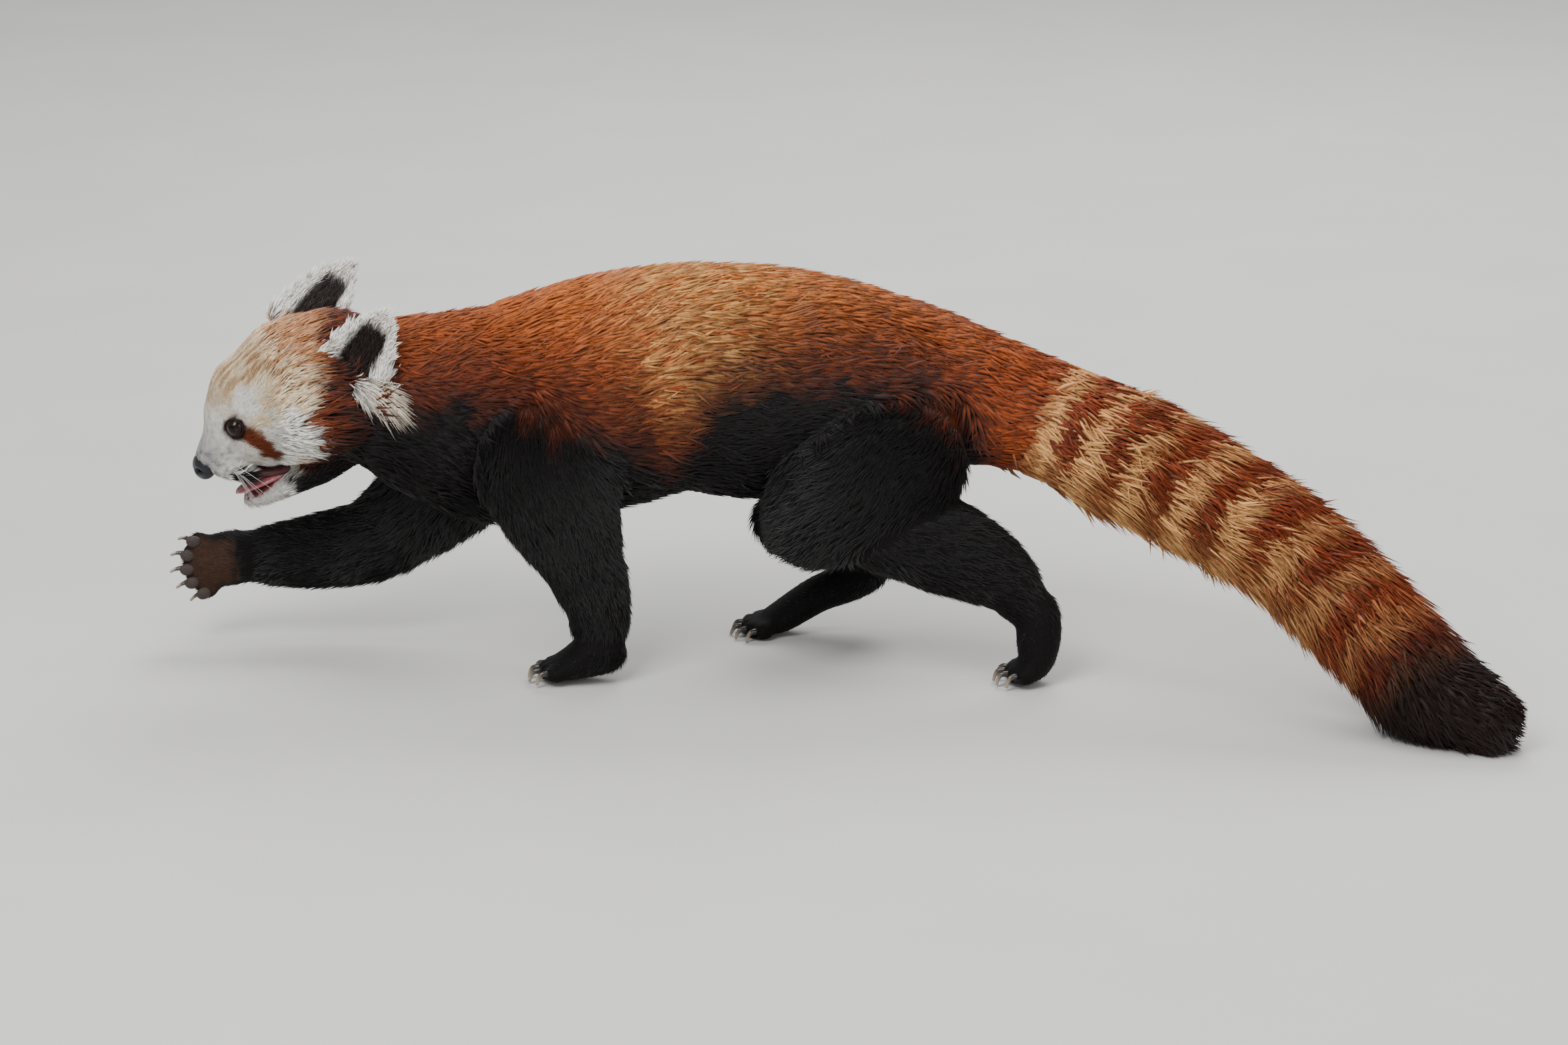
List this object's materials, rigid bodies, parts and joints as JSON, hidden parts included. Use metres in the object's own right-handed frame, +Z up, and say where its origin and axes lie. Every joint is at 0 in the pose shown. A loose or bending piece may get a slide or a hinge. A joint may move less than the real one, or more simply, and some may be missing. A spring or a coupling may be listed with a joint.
{
  "type": "red panda",
  "caption": "Life-size red panda in mid stride, one forepaw lifted, ringed bushy tail trailing down to the ground",
  "frame": {"origin": "on the ground under the middle of the animal's overall box", "axes": "+Z up, the animal faces -X, its left side faces -Y, its tail trails towards +X and -Y"},
  "size_m": [0.9586, 0.3374, 0.3053],
  "materials": {
    "coat_head": "short cream and rust hair",
    "coat_white": "soft white hair",
    "coat_rust": "dense red-brown coat",
    "coat_rings": "long coat in rust and buff rings",
    "coat_tail_end": "long dark hair",
    "coat_dark": "short black coat",
    "nose": "moist bare skin",
    "eye": "wet and clear",
    "tongue": "moist pink skin"
  },
  "bodies": {
    "root": {"belly": "coat_rust", "chest": "coat_rust", "ear_left": "coat_white", "ear_right": "coat_white", "eye_left": "eye", "eye_right": "eye", "fore_paw_left": "coat_dark", "fore_paw_right": "coat_dark", "forearm_left": "coat_dark", "forearm_right": "coat_dark", "head": "coat_head", "hind_paw_left": "coat_dark", "hind_paw_right": "coat_dark", "lower_jaw": "coat_white", "neck": "coat_rust", "nose_pad": "nose", "rump": "coat_rust", "shank_left": "coat_dark", "shank_right": "coat_dark", "tail_1": "coat_rings", "tail_2": "coat_rings", "tail_3": "coat_rings", "tail_4": "coat_rings", "tail_5": "coat_tail_end", "thigh_left": "coat_dark", "thigh_right": "coat_dark", "tongue": "tongue", "upper_arm_left": "coat_dark", "upper_arm_right": "coat_dark"}
  },
  "joints": []
}
